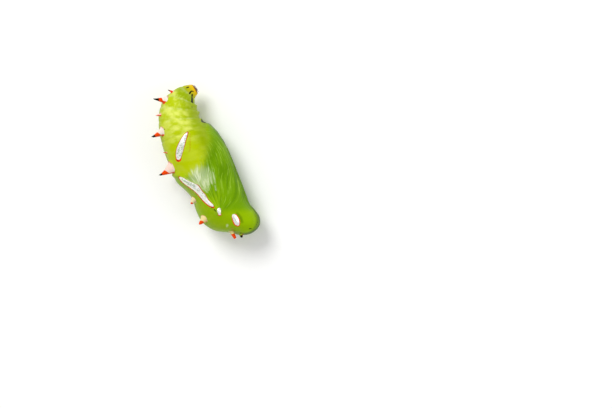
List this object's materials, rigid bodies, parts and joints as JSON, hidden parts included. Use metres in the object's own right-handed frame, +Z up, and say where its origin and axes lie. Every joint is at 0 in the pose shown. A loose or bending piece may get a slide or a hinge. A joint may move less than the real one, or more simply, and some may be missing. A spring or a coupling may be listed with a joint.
{
  "type": "butterfly chrysalis",
  "caption": "Leopard butterfly chrysalis lying on its side: green pupal case with paired dorsal thorns, raised wing cases, a thoracic saddle and a blunt cremaster.",
  "frame": {"origin": "on the resting surface, under the middle of the object's outline box", "axes": "+Y from the head to the tail (cremaster), +X from the back to the belly, +Z up out of the left flank; it lies on its right side"},
  "size_m": [0.0076, 0.0166, 0.0055],
  "materials": {
    "pupal_case": "waxy green pupal cuticle with silver patches and red-rimmed thorns"
  },
  "bodies": {
    "root": {"chrysalis": "pupal_case"}
  },
  "joints": []
}
